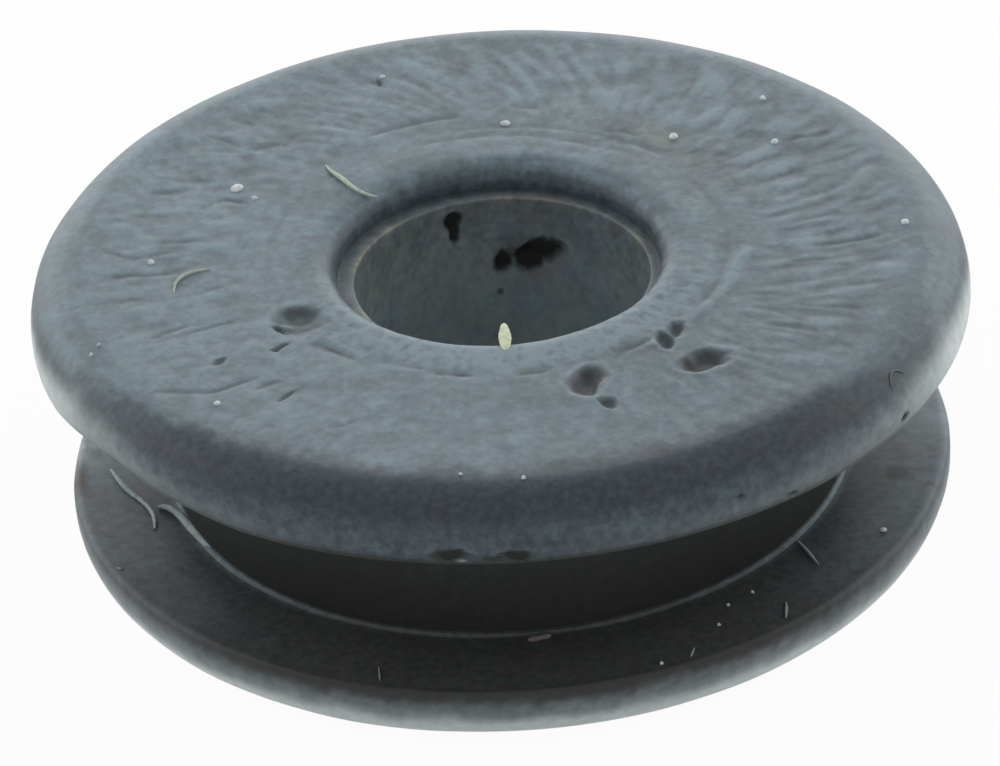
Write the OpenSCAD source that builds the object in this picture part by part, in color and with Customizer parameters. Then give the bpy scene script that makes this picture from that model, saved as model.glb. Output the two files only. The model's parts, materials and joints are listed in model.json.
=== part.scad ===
// Moulded rubber grommet: two round flanges, a panel groove between them and a bore with stepped mouths.
// The origin is on the bore's axis at the lower face, and +Z runs up the bore. Millimetres.

/* [Flanges] */
// Outside diameter of the upper flange
upper_flange_d = 20; // [17.5:0.1:30]
// Outside diameter of the lower flange
lower_flange_d = 18.8; // [17.5:0.1:30]
// Thickness of the upper flange
upper_flange_t = 1.5; // [1.4:0.05:3]
// Thickness of the lower flange
lower_flange_t = 1.5; // [1.4:0.05:3]
// Radius of the round between each outer face and its rim
face_round_r = 1.1; // [0.3:0.05:1.15]
// Radius of the round between each rim and the groove
groove_round_r = 0.2; // [0.1:0.01:0.22]

/* [Panel groove] */
// Diameter of the neck between the flanges, the size of the panel's hole
neck_d = 14.4; // [12:0.1:15]
// Width of the groove, the thickness of the panel
groove_w = 3.5; // [1:0.1:8]
// Radius of the flash bead in the groove's lower corner
flash_r = 0.08; // [0.04:0.01:0.15]

/* [Bore] */
// Diameter of the bore
bore_d = 6.3; // [4:0.1:7]
// Width of the ledge in each mouth
ledge_w = 0.3; // [0.1:0.05:0.45]
// Depth of the ledge below its face
ledge_depth = 0.6; // [0.6:0.05:1]
// Radius of the round where each mouth meets its face
mouth_round_r = 0.6; // [0.2:0.05:0.6]

/* [Mould marks] */
// Diameter of the crease that the core pin's collar leaves on each face
crease_d = 9.9; // [9.6:0.1:10.4]
// Depth of the crease
crease_depth = 0.05; // [0.02:0.01:0.08]
// Radius of the crease's round bottom
crease_r = 0.1; // [0.09:0.01:0.15]
// Radius of the largest pit in the upper face
pit_r = 0.34; // [0.2:0.02:0.5]
// Radius of the small pits along the edges of the rims
nick_r = 0.14; // [0.06:0.02:0.18]

/* [Hidden] */
$fn = 96;
// How far a cut runs past the face that it opens
over = 1;
height = lower_flange_t + groove_w + upper_flange_t;
upper_rim_r = upper_flange_d / 2;
lower_rim_r = lower_flange_d / 2;
neck_r = neck_d / 2;
bore_r = bore_d / 2;
ledge_r = bore_r + ledge_w;
// Pits in the upper face: the angle round the bore, the distance outside the crease, the share of pit_r
face_pits = [
    [202.5, -0.1, 0.6],
    [206, -0.1, 0.65],
    [211, 0.6, 0.4],
    [-71, 0.25, 1],
    [-67, 0.15, 0.8],
    [-66, 1.1, 0.55],
    [-46, -0.05, 0.6],
    [-41, -0.15, 0.6],
    [-47.5, 1.2, 0.6],
    [-45, 1.25, 0.7],
    [-43, 1.4, 0.55]
];
// Nicks under the upper rim and over the lower one: the angle round the bore, the share of nick_r
upper_nicks = [[-98, 0.8], [-97, 1], [-96, 1], [-90, 0.8], [-89, 1], [-88, 1], [-59, 1], [-52, 0.7]];
lower_nicks = [[-15, 1], [-14, 0.9]];

// What a round of the given radius takes off an outside corner, from the round's centre out.
module corner_waste(round_r) {
    difference() {
        square(round_r + over);
        circle(round_r);
    }
}

// Half section of a flange, with its outer face at y = 0 and the groove above it.
module flange_section(rim_r, flange_t) {
    difference() {
        square([rim_r, flange_t]);
        translate([rim_r - face_round_r, face_round_r])
            mirror([0, 1])
                corner_waste(face_round_r);
        translate([rim_r - groove_round_r, flange_t - groove_round_r])
            corner_waste(groove_round_r);
    }
}

// Half section of what a mouth takes off: its round, the well down to its ledge, and the crease round it.
// The face is at y = 0 and the rubber is above it.
module mouth_section() {
    translate([0, -over])
        square([ledge_r, over + ledge_depth]);
    translate([ledge_r + mouth_round_r, mouth_round_r])
        rotate(180)
            corner_waste(mouth_round_r);
    translate([crease_d / 2, crease_depth - crease_r])
        circle(crease_r);
}

// Half section of the whole moulding, with the bore's axis along y.
module grommet_section() {
    difference() {
        union() {
            flange_section(lower_rim_r, lower_flange_t);
            translate([0, height])
                mirror([0, 1])
                    flange_section(upper_rim_r, upper_flange_t);
            square([neck_r, height]);
            translate([neck_r, lower_flange_t])
                circle(flash_r);
        }
        translate([0, -over])
            square([bore_r, height + 2 * over]);
        mouth_section();
        translate([0, height])
            mirror([0, 1])
                mouth_section();
    }
}

// Round pits with their centres in the upper face, some run together into longer ones.
module face_pit_cuts() {
    for (pit = face_pits)
        rotate(pit[0])
            translate([crease_d / 2 + pit[1], 0, height])
                sphere(pit_r * pit[2]);
}

// Round nicks in the edge of a rim of radius rim_r, at height z.
module nick_cuts(nicks, rim_r, z) {
    for (nick = nicks)
        rotate(nick[0])
            translate([rim_r, 0, z])
                sphere(nick_r * nick[1]);
}

module grommet() {
    color([0.24, 0.26, 0.29])
        difference() {
            rotate_extrude()
                grommet_section();
            face_pit_cuts();
            nick_cuts(upper_nicks, upper_rim_r, height - upper_flange_t + groove_round_r);
            nick_cuts(lower_nicks, lower_rim_r, lower_flange_t - groove_round_r);
        }
}

grommet();
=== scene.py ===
import json
import math
from collections import namedtuple

import bmesh
import bpy
import numpy as np
from mathutils import Matrix, Vector, noise

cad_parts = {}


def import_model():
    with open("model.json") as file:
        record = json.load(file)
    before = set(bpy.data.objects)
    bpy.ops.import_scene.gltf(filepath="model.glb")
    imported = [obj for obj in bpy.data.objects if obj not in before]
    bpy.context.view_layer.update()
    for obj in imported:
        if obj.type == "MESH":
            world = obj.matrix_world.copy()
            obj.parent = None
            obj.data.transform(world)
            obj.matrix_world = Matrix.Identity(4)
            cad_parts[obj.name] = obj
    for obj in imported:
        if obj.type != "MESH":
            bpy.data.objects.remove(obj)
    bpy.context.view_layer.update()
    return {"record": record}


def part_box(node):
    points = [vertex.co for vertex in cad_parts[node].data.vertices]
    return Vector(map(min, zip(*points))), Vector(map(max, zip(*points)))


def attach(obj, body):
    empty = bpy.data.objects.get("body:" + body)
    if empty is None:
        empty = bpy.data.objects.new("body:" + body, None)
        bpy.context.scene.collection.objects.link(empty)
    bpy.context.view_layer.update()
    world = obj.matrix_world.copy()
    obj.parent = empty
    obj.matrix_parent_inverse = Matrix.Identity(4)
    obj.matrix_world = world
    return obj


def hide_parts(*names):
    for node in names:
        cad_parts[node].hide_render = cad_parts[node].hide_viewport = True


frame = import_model()

# ---------------------------------------------------------------- sizes, in millimetres
MM = 0.001
LOW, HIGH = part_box("grommet")
MOUNTS = {mount["name"]: mount for mount in frame["record"]["mounts"]}

# The flanges, the groove and the bore
HEIGHT = (HIGH.z - LOW.z) / MM
UPPER_RIM_R = (HIGH.x - LOW.x) / 2 / MM
LOWER_RIM_R = 0.94 * UPPER_RIM_R
BORE_R = MOUNTS["bore"]["dims"]["r_mm"]
NECK_R = MOUNTS["panel_groove"]["dims"]["r_mm"]
GROOVE_W = MOUNTS["panel_groove"]["dims"]["length_mm"]
FLANGE_T = (HEIGHT - GROOVE_W) / 2
UPPER_T = HEIGHT - FLANGE_T
LEDGE_DEPTH = (HEIGHT - MOUNTS["bore"]["dims"]["length_mm"]) / 2
LEDGE_R = BORE_R + 0.3
# The upper end of the bore's wall, where its ledge lies
BORE_TOP = HEIGHT - LEDGE_DEPTH
# Where the upper mouth has turned into the face
MOUTH_R = 5

# The rounds: between each face and its rim, between each rim and the groove, at the neck's top, in
# the ledges and where each mouth meets its face, and the flash bead at the neck's foot
FACE_ROUND = 1.15
GROOVE_ROUND = 0.2
NECK_ROUND = 0.12
SOFT_CORNER = 0.05
MOUTH_ROUND = LEDGE_DEPTH - SOFT_CORNER
FLASH_BEAD = 0.08
# Where the flat of the upper face ends
FLAT_R = UPPER_RIM_R - FACE_ROUND

# The spin's steps, and how many cuts more each step gets on the upper face, for its wrinkles
STEPS = 296
FACE_CUTS = 2
FACE_FROM = LEDGE_R + 0.35
FACE_TO = UPPER_RIM_R - 0.6
# The section's longest steps, shortest where the rubber has fine marks
FACE_STEP = 0.115
BORE_STEP = 0.14
LEDGE_STEP = 0.08
RIM_STEP = 0.06
NECK_STEP = 0.35
FLANGE_STEP = 0.17
PLAIN_STEP = 0.5

# Angles go round the bore from the right, in degrees, and the front is here
FRONT = -90
# How near a face or a wall a point is to count as on it
NEAR = 0.01

# The way that the moulding departs from true: the upper flange leans down on the right by this much
# for each millimetre, the bore stands to the right of its ledges, the front of the upper mouth bulges
# inwards, and the upper rim's lower edge is drawn up at the left, by an amount for each angle
UPPER_LEAN = 0.0121
BORE_SHIFT = 0.07
LIP_SHIFT = 0.07
RIM_LIFT = [(198, 0), (207, 0.22), (214, 0.3), (221, 0.17), (227, 0.12), (235, 0)]


# ---------------------------------------------------------------- helpers
def deselect_objects():
    for obj in bpy.context.selected_objects:
        obj.select_set(False)


def open_piece(name):
    """Names the primitive that was just added and opens it in edit mode."""
    obj = bpy.context.object
    obj.name = name
    obj.data.name = name
    bpy.ops.object.mode_set(mode="EDIT")
    return obj


def select_verts(obj, test):
    """Selects the open mesh's vertices whose place, in millimetres, passes the test."""
    bpy.ops.mesh.select_mode(type="VERT")
    bpy.ops.mesh.select_all(action="DESELECT")
    mesh = bmesh.from_edit_mesh(obj.data)
    for vert in mesh.verts:
        vert.select = test(vert.co / MM)
    mesh.select_flush(True)
    bmesh.update_edit_mesh(obj.data)


def select_edges(obj, test):
    """Selects the open mesh's edges whose two ends, in millimetres, pass the test."""
    bpy.ops.mesh.select_mode(type="EDGE")
    bpy.ops.mesh.select_all(action="DESELECT")
    mesh = bmesh.from_edit_mesh(obj.data)
    for edge in mesh.edges:
        edge.select = test(edge.verts[0].co / MM, edge.verts[1].co / MM)
    mesh.select_flush(False)
    bmesh.update_edit_mesh(obj.data)


def select_chosen_faces(obj, chosen):
    """Selects the open mesh's faces that a row of true and false values, one for each face, chooses."""
    bpy.ops.mesh.select_mode(type="FACE")
    bpy.ops.mesh.select_all(action="DESELECT")
    mesh = bmesh.from_edit_mesh(obj.data)
    for face, choice in zip(mesh.faces, chosen):
        face.select = bool(choice)
    mesh.select_flush(False)
    bmesh.update_edit_mesh(obj.data)


def polar(angle, radius, z):
    """A point at an angle in degrees round the bore, in millimetres."""
    turn = math.radians(angle)
    return Vector((radius * math.cos(turn), radius * math.sin(turn), z))


def draw_outline(places, closed):
    """Extrudes a single point along straight legs from place to place, in millimetres."""
    deselect_objects()
    bpy.ops.mesh.primitive_plane_add(size=MM, location=places[0] * MM)
    bpy.ops.object.transform_apply(location=True, rotation=True, scale=True)
    bpy.ops.object.mode_set(mode="EDIT")
    bpy.ops.mesh.select_mode(type="VERT")
    bpy.ops.mesh.select_all(action="SELECT")
    bpy.ops.mesh.merge(type="CENTER")
    ends = places[1:] + places[:1] if closed else places[1:]
    for here, there in zip(places, ends):
        leg = (there - here) * MM
        bpy.ops.mesh.extrude_region_move(TRANSFORM_OT_translate={"value": leg})
    bpy.ops.mesh.select_all(action="SELECT")
    bpy.ops.mesh.remove_doubles(threshold=1e-4 * MM)
    bpy.ops.object.mode_set(mode="OBJECT")


def smooth(low, high, value):
    """0 up to low, 1 from high, with a soft step between."""
    t = np.clip((value - low) / (high - low), 0, 1)
    return t * t * (3 - 2 * t)


def fall(low, high, value):
    """1 up to low, 0 from high, with a soft step between."""
    return 1 - smooth(low, high, value)


def bell(off, width):
    """1 where off is 0, fading softly to both sides of it."""
    return np.exp(-((off / width) ** 2))


def between(stations, angles):
    """Values between named stations round the bore, each station an angle in degrees and a value."""
    at, values = zip(*stations)
    return np.interp(angles, at, values, period=360)


def turn_from(angles, middle):
    """How far each angle is from the middle one, from -180 to 180 degrees."""
    return (angles - middle + 180) % 360 - 180


def at_front(angles, inner, outer):
    """1 within inner degrees of the front on either side, 0 beyond outer degrees."""
    return fall(inner, outer, np.abs(turn_from(angles, FRONT)))


def angles_and_radii(points):
    """Each point's angle round the bore, in degrees, and its distance from the bore's axis."""
    x, y = points[:, 0], points[:, 1]
    return np.degrees(np.arctan2(y, x)), np.hypot(x, y)


def soft_patch(angles, radii, angle, radius, half_length, half_width):
    """A soft patch, 1 in its middle. Its half length is in degrees and its half width in millimetres."""
    return bell(turn_from(angles, angle), half_length) * bell(radii - radius, half_width)


def noise_at(rows):
    """Smooth noise, about -0.6 to 0.6, at each row of three coordinates."""
    return np.array([noise.noise(Vector(row)) for row in rows.tolist()])


# ---------------------------------------------------------------- the moulding
def section_corners():
    """The half section's corners, from the lower ledge round to the upper one: x, z, round, segments."""
    bead_r = NECK_R + FLASH_BEAD
    bead_top = FLANGE_T + FLASH_BEAD
    return [
        (BORE_R, LEDGE_DEPTH, SOFT_CORNER, 2),
        (LEDGE_R, LEDGE_DEPTH, SOFT_CORNER * 0.8, 2),
        (LEDGE_R, 0, MOUTH_ROUND, 8),
        (LOWER_RIM_R, 0, FACE_ROUND, 12),
        (LOWER_RIM_R, FLANGE_T, GROOVE_ROUND, 4),
        (bead_r, FLANGE_T, FLASH_BEAD * 0.2, 1),
        (bead_r, bead_top, FLASH_BEAD * 0.7, 3),
        (NECK_R, bead_top, FLASH_BEAD * 0.2, 1),
        (NECK_R, UPPER_T, NECK_ROUND, 2),
        (UPPER_RIM_R, UPPER_T, GROOVE_ROUND, 4),
        (UPPER_RIM_R, HEIGHT, FACE_ROUND, 14),
        (LEDGE_R, HEIGHT, MOUTH_ROUND, 10),
        (LEDGE_R, BORE_TOP, SOFT_CORNER * 0.8, 2),
        (BORE_R, BORE_TOP, SOFT_CORNER, 3),
    ]


def draw_section():
    """Draws the half section as one closed outline and rounds each of its corners."""
    corners = section_corners()
    draw_outline([Vector((x, 0, z)) for x, z, _, _ in corners], closed=True)
    obj = open_piece("grommet_moulding")
    bpy.ops.mesh.edge_face_add()
    for x, z, round_r, segments in corners:
        place = Vector((x, 0, z))
        select_verts(obj, lambda co: (co - place).length < 1e-3)
        bpy.ops.mesh.bevel(
            offset=round_r * MM,
            segments=segments,
            affect="VERTICES",
            clamp_overlap=False,
        )
    bpy.ops.mesh.select_mode(type="FACE")
    bpy.ops.mesh.select_all(action="SELECT")
    bpy.ops.mesh.delete(type="ONLY_FACE")
    return obj


def step_length(middle):
    """The longest step that the section takes where its run's middle is, in millimetres."""
    if middle.z > HEIGHT - NEAR:
        return FACE_STEP
    if middle.x < BORE_R + NEAR:
        return BORE_STEP
    if middle.x < LEDGE_R - NEAR:
        return LEDGE_STEP
    if middle.z > UPPER_T - NEAR and middle.x > UPPER_RIM_R - NEAR:
        return RIM_STEP
    if middle.x < NECK_R + NEAR:
        return NECK_STEP
    if abs(middle.z - FLANGE_T) < NEAR:
        return FLANGE_STEP
    return PLAIN_STEP


def divide_section(obj):
    """Cuts the section's long straight runs into steps."""
    mesh = bmesh.from_edit_mesh(obj.data)
    runs = []
    for edge in mesh.edges:
        ends = [vert.co / MM for vert in edge.verts]
        cuts = int((ends[0] - ends[1]).length / step_length((ends[0] + ends[1]) / 2))
        if cuts:
            runs.append((ends, cuts))
    for ends, cuts in runs:
        middle = (ends[0] + ends[1]) / 2
        select_edges(obj, lambda a, b: ((a + b) / 2 - middle).length < 1e-3)
        bpy.ops.mesh.subdivide(number_cuts=cuts)


def spin_section(obj):
    """Spins the outline round the bore's axis into one closed moulding."""
    bpy.ops.mesh.select_all(action="SELECT")
    bpy.ops.mesh.spin(
        steps=STEPS, angle=2 * math.pi, use_auto_merge=True, center=(0, 0, 0), axis=(0, 0, 1)
    )
    bpy.ops.mesh.select_all(action="SELECT")
    bpy.ops.mesh.remove_doubles(threshold=1e-4 * MM)
    bpy.ops.mesh.normals_make_consistent(inside=False)


def runs_round_face(a, b):
    """Whether an edge runs round the bore on the upper face."""
    level = abs(a.z - b.z) < 1e-3
    even = abs(a.xy.length - b.xy.length) < 1e-3
    return level and even and a.z > UPPER_T + 0.3 and FACE_FROM < a.xy.length < FACE_TO


# ---------------------------------------------------------------- pits in the moulding
# A pit's place is its radius on the face, and its height in a wall. Its half length runs round the
# bore before it is turned, and its turn is in degrees. Its darkness is how much painted shade its
# floor takes, and how bright the painted highlight on its lip is. A depth below zero is a lump.
Pit = namedtuple("Pit", "angle place half_length half_width turn depth darkness")
FACE_PITS = [
    (-71.4, 6.56, 0.19, 0.26, 0, 0.09, 0.68),
    (-72.4, 5.55, 0.38, 0.6, 33, 0.18, 0.83),
    (-49.1, 6.38, 0.57, 0.36, 18, 0.17, 0.8),
    (-49, 5.22, 0.24, 0.33, 41, 0.13, 0.8),
    (-43.8, 5.05, 0.21, 0.31, 46, 0.12, 0.76),
    (208.2, 4.84, 0.54, 0.6, -61, 0.08, 0.5),
    (206, 4.7, 0.42, 0.34, -61, 0.04, 0.68),
    (208.4, 5.35, 0.27, 0.11, -14, 0.07, 0.76),
    (208.2, 5.14, 0.16, 0.09, -14, -0.04, 0),
    (214.8, 5.72, 0.08, 0.27, 0, 0.05, 0.56),
    (215.3, 5.86, 0.09, 0.11, 0, 0.04, 0.64),
    (228.5, 6.95, 0.06, 0.32, 0, 0.04, 0.4),
    (212, 7.05, 0.12, 0.22, -20, 0.05, 0.5),
    (107.5, 7.6, 0.07, 0.14, 0, 0.05, 0.48),
]
BORE_PITS = [
    (108, 5.5, 0.2, 0.24, 0, 0.12, 1),
    (107.6, 5.2, 0.13, 0.28, 0, 0.08, 1),
    (73.5, 4.6, 0.52, 0.3, -8, 0.14, 1),
    (79, 4.36, 0.34, 0.34, 0, 0.12, 1),
    (89.3, 4.3, 0.24, 0.32, 0, 0.12, 1),
    (84, 4.5, 0.4, 0.2, 0, 0.08, 0.85),
    (91.2, 3.55, 0.08, 0.1, 0, 0.05, 0.7),
]
RIM_NICKS = [
    (261.9, 5.29, 0.42, 0.2, 5, 0.07, 0.9),
    (270.1, 5.25, 0.42, 0.17, -4, 0.06, 0.9),
    (267, 5.2, 0.3, 0.08, -3, 0.03, 0.8),
    (298.2, 5.64, 0.1, 0.06, 0, 0.05, 0.8),
    (305.6, 5.22, 0.08, 0.06, 0, 0.05, 0.8),
    (326, 5.3, 0.16, 0.09, 15, 0.06, 0.9),
]
# How far round a pit the mesh is finer, and how far its own edge reaches, in shares of its size
PIT_REACH = 1.4
LIP_REACH = 1.82


def pit_distance(points, pit, wall_r):
    """How far each point is from a pit's middle: 1 at its edge. On the face the wall's radius is None."""
    angles, radii = angles_and_radii(points)
    away = turn_from(angles, pit.angle)
    if wall_r:
        along = np.radians(away) * wall_r
        across = points[:, 2] - pit.place
        near = np.abs(radii - wall_r) < 0.3
    else:
        along = np.radians(away) * radii
        across = radii - pit.place
        near = points[:, 2] > HEIGHT - 0.5
    turn = math.radians(pit.turn)
    u = (along * math.cos(turn) + across * math.sin(turn)) / pit.half_length
    v = (across * math.cos(turn) - along * math.sin(turn)) / pit.half_width
    return np.where(near & (np.abs(away) < 90), np.hypot(u, v), math.inf)


def all_pits():
    """Every pit with the radius of its wall, or None on the upper face."""
    groups = [(FACE_PITS, None), (BORE_PITS, BORE_R), (RIM_NICKS, UPPER_RIM_R)]
    return [(Pit(*row), wall_r) for rows, wall_r in groups for row in rows]


def refine_pits(obj):
    """Cuts the faces round each pit finer, and those round the rim's nicks once more."""
    nicks = [(pit, wall_r) for pit, wall_r in all_pits() if wall_r == UPPER_RIM_R]
    for pits in (all_pits(), nicks):
        mesh = bmesh.from_edit_mesh(obj.data)
        middles = np.array([face.calc_center_median() / MM for face in mesh.faces])
        chosen = np.zeros(len(middles), bool)
        for pit, wall_r in pits:
            chosen |= pit_distance(middles, pit, wall_r) < PIT_REACH
        select_chosen_faces(obj, chosen)
        bpy.ops.mesh.subdivide(number_cuts=1)


def pit_relief(points):
    """The pits' height in millimetres, and masks that are 1 in their hollows, for painted shade, and on
    their lips, for a painted highlight.
    """
    relief, hollow, lip = np.zeros((3, len(points)))
    for pit, wall_r in all_pits():
        distance = pit_distance(points, pit, wall_r)
        near = distance < LIP_REACH
        size = min(pit.half_length, pit.half_width)
        ragged = noise_at(points[near] * 0.7 / size) * 0.35 + noise_at(points[near] * 1.9 / size) * 0.12
        edge = distance[near] + ragged
        relief[near] -= pit.depth * fall(0.35, 1.05, edge)
        if pit.depth < 0:
            hollow[near] *= smooth(0.7, 1.2, edge)
            continue
        # The floor takes painted shade, and the rolled lip a painted highlight
        rolled = bell(edge - 1.25, 0.15)
        relief[near] += 0.06 * pit.depth * rolled
        hollow[near] = np.maximum(hollow[near], pit.darkness * fall(0.6, 1.2, edge))
        lip[near] = np.maximum(lip[near], pit.darkness * rolled)
    return relief, hollow, lip


# ---------------------------------------------------------------- wrinkles and creases of the upper face
# How far the wrinkles lean as they run outwards, in degrees for each millimetre, by angle round the bore
WRINKLE_LEAN = [
    (-95, 2), (-60, 0), (-35, 1.5), (-20, 4), (0, 3), (12, 4), (25, 1), (45, 1.5), (75, 4),
    (100, 5), (130, 6), (150, 5), (175, 1), (195, 1), (215, -4), (240, -4),
]
# How deep they are there, as a share of the deepest
WRINKLE_SHARE = [
    (-95, 0.25), (-60, 0.35), (-40, 0.7), (-20, 1), (60, 1), (95, 0.95), (125, 0.75), (150, 0.5),
    (180, 0.4), (215, 0.3), (240, 0.2),
]
WRINKLE_DEPTH = 0.013
# How closely they stand round the bore, how quickly they change outwards, and the radius they lean about
WRINKLES_ROUND = 17
WRINKLES_OUT = 0.85
WRINKLES_R = 7.5
# How much of the face's mottle lies there, and its depth
MOTTLE_SHARE = [(-90, 0.6), (-30, 0.8), (60, 0.9), (150, 1.3), (205, 0.8)]
MOTTLE_DEPTH = 0.01
# How far the collar round the mouth stands up from the face, and the depth of the grit on it
COLLAR_RISE = 0.028
GRIT_DEPTH = 0.006
# The rough patch at the mouth's back right, as soft_patch takes it, and its depth
ROUGH_PATCH = (47, 5.6, 30, 0.6)
ROUGH_DEPTH = 0.01

# The crease round the mouth in arcs: from one angle to another, radius, share of the full depth
CREASE_DEPTH = 0.04
CREASE_WIDTH = 0.06
CREASE_ARCS = [
    (217, 234, 5.05, 0.9),
    (232, 256, 4.87, 0.5),
    (249, 264, 4.9, 1),
    (270, 284, 4.88, 0.95),
    (294, 311, 4.93, 0.7),
    (312, 342, 4.9, 0.4),
    (300, 330, 5.3, 0.25),
    (345, 395, 4.9, 0.3),
    (45, 112, 4.75, 0.5),
    (40, 100, 5.15, 0.4),
    (94, 120, 5.68, 0.6),
    (120, 175, 4.9, 0.25),
]

# Single furrows of the face: the places (angle, radius) that each runs through, and its depth's share
FURROW_DEPTH = 0.021
FURROW_WIDTH = 0.07
FURROWS = [
    ([(218.5, 5.13), (222, 5.08), (225.5, 5.07)], 0.9),
    ([(288.5, 4.88), (300, 4.85), (307, 4.93)], 0.5),
    ([(156.5, 8.05), (154, 7.45), (151, 7.2)], 0.7),
    ([(163.5, 8.1), (162.5, 7.45)], 0.6),
    ([(152, 8.3), (151.5, 7.7)], 0.5),
    ([(173, 8.5), (175.5, 7.75), (173, 6.8)], 0.8),
    ([(180.5, 8.3), (181, 6.95), (178, 6.5)], 0.8),
    ([(171, 7.3), (169.5, 6.4)], 0.6),
    ([(199.5, 7.85), (198.5, 7)], 0.8),
    ([(201, 7.15), (200.5, 6.05)], 0.8),
    ([(189, 6.5), (186.5, 5.85)], 0.6),
    ([(188, 8.15), (188, 7.6)], 0.5),
    ([(212.5, 8.8), (216, 8.25), (219, 7.75), (220.5, 6.75)], 1),
    ([(158.5, 6.75), (154, 6.4), (154, 5.9)], 1),
    ([(137.5, 7), (131.5, 6.65), (127, 6.7)], 0.9),
    ([(128.5, 8.35), (126.5, 7.75)], 0.7),
    ([(137.5, 8.2), (137.5, 7.3)], 0.6),
    ([(132.5, 8.15), (131, 7.7)], 0.7),
    ([(141.5, 7.6), (138.5, 7.15)], 0.6),
    ([(223, 7.15), (224.5, 6.55)], 0.9),
    ([(228.5, 7.2), (229.5, 6.65)], 0.6),
    ([(240.5, 7.55), (243.5, 7.1)], 0.6),
    ([(213.5, 5.85), (215.5, 5.5)], 0.6),
    ([(109, 7.75), (107, 7.35)], 0.8),
    ([(84.5, 6), (79.5, 5.9)], 0.9),
    ([(77.5, 8.05), (74.5, 7.35)], 0.6),
    ([(88, 7.8), (86.5, 7.6)], 0.8),
    ([(63.5, 5.3), (58, 5.4), (54, 5.5)], 1),
    ([(69, 4.8), (58, 5), (48, 5.2)], 0.6),
    ([(96, 4.75), (87.5, 4.95)], 0.6),
    ([(31, 7.5), (29, 8.4)], 0.8),
    ([(355.5, 6.8), (357, 7.5), (358.5, 8.15)], 1),
    ([(350, 6.3), (352, 7.1)], 0.6),
    ([(335.5, 6.9), (337.5, 8.15)], 0.8),
    ([(332, 6.5), (331.5, 7.25)], 0.6),
    ([(327.5, 6.45), (329, 7.85)], 0.5),
]
# Folds that stand up from the face instead
FOLD_HEIGHT = 0.045
FOLD_WIDTH = 0.11
FOLDS = [
    ([(356, 5.35), (350, 5.2), (344, 5.12)], 1),
    ([(346, 5.12), (338, 5.18), (331, 5.1)], 0.75),
    ([(332, 5.14), (325, 4.98), (317, 4.96)], 0.85),
    ([(317, 4.96), (312, 5.04), (307, 5.2)], 0.6),
]


def wrinkle_relief(angles, radii):
    """Wrinkles that run outwards over the face, from about -1 at their foot to 1 on their crests."""
    turned = np.radians(angles - between(WRINKLE_LEAN, angles) * (radii - WRINKLES_R))
    around = np.stack([np.cos(turned), np.sin(turned)], 1) * WRINKLES_ROUND
    rows = np.column_stack([around, radii * WRINKLES_OUT])
    ridges = 2.2 * np.abs(noise_at(rows)) - 0.45
    ridges += 0.7 * noise_at(rows * np.array([1.7, 1.7, 1.3]) + 5)
    return ridges + 0.3 * noise_at(rows * np.array([3.4, 3.4, 2.2]) + 11)


def crease_relief(angles, radii):
    """Creases round the mouth: 1 at the foot of the deepest."""
    turns = np.radians(angles)
    around = np.stack([np.cos(turns) * 4, np.sin(turns) * 4, np.zeros(len(angles))], 1)
    wander = 0.1 * noise_at(around) + 0.04 * noise_at(around * 4)
    crease = np.zeros(len(angles))
    for start, end, radius, share in CREASE_ARCS:
        reach = (end - start) / 2
        off = np.abs(turn_from(angles, (start + end) / 2))
        line = bell(radii - radius - wander, CREASE_WIDTH)
        crease = np.maximum(crease, share * line * fall(reach - 5, reach, off))
    return crease


def line_distance(places, start, end):
    """How far each place on the face is from a straight line between two others."""
    leg = end - start
    along = np.clip((places - start) @ leg / (leg @ leg), 0, 1)
    return np.linalg.norm(places - start - along[:, None] * leg, axis=1)


def line_relief(places, lines, width):
    """Single furrows or folds: 1 along the middle of the strongest, fading towards each one's ends."""
    rows = np.column_stack([places, np.zeros(len(places))]) * 2.5
    wandered = places + 0.07 * np.stack([noise_at(rows), noise_at(rows + 7)], 1)
    relief = np.zeros(len(places))
    for stops, share in lines:
        run = [np.array(polar(angle, radius, 0))[:2] for angle, radius in stops]
        middle = (run[0] + run[-1]) / 2
        reach = np.linalg.norm(run[0] - run[-1]) / 2 + width
        near = np.linalg.norm(wandered - middle, axis=1) < reach + 0.4
        close = wandered[near]
        distance = np.min([line_distance(close, a, b) for a, b in zip(run, run[1:])], axis=0)
        fade = fall(0.55 * reach, 1.1 * reach, np.linalg.norm(close - middle, axis=1))
        relief[near] = np.maximum(relief[near], share * fade * bell(distance, width))
    return relief


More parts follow.
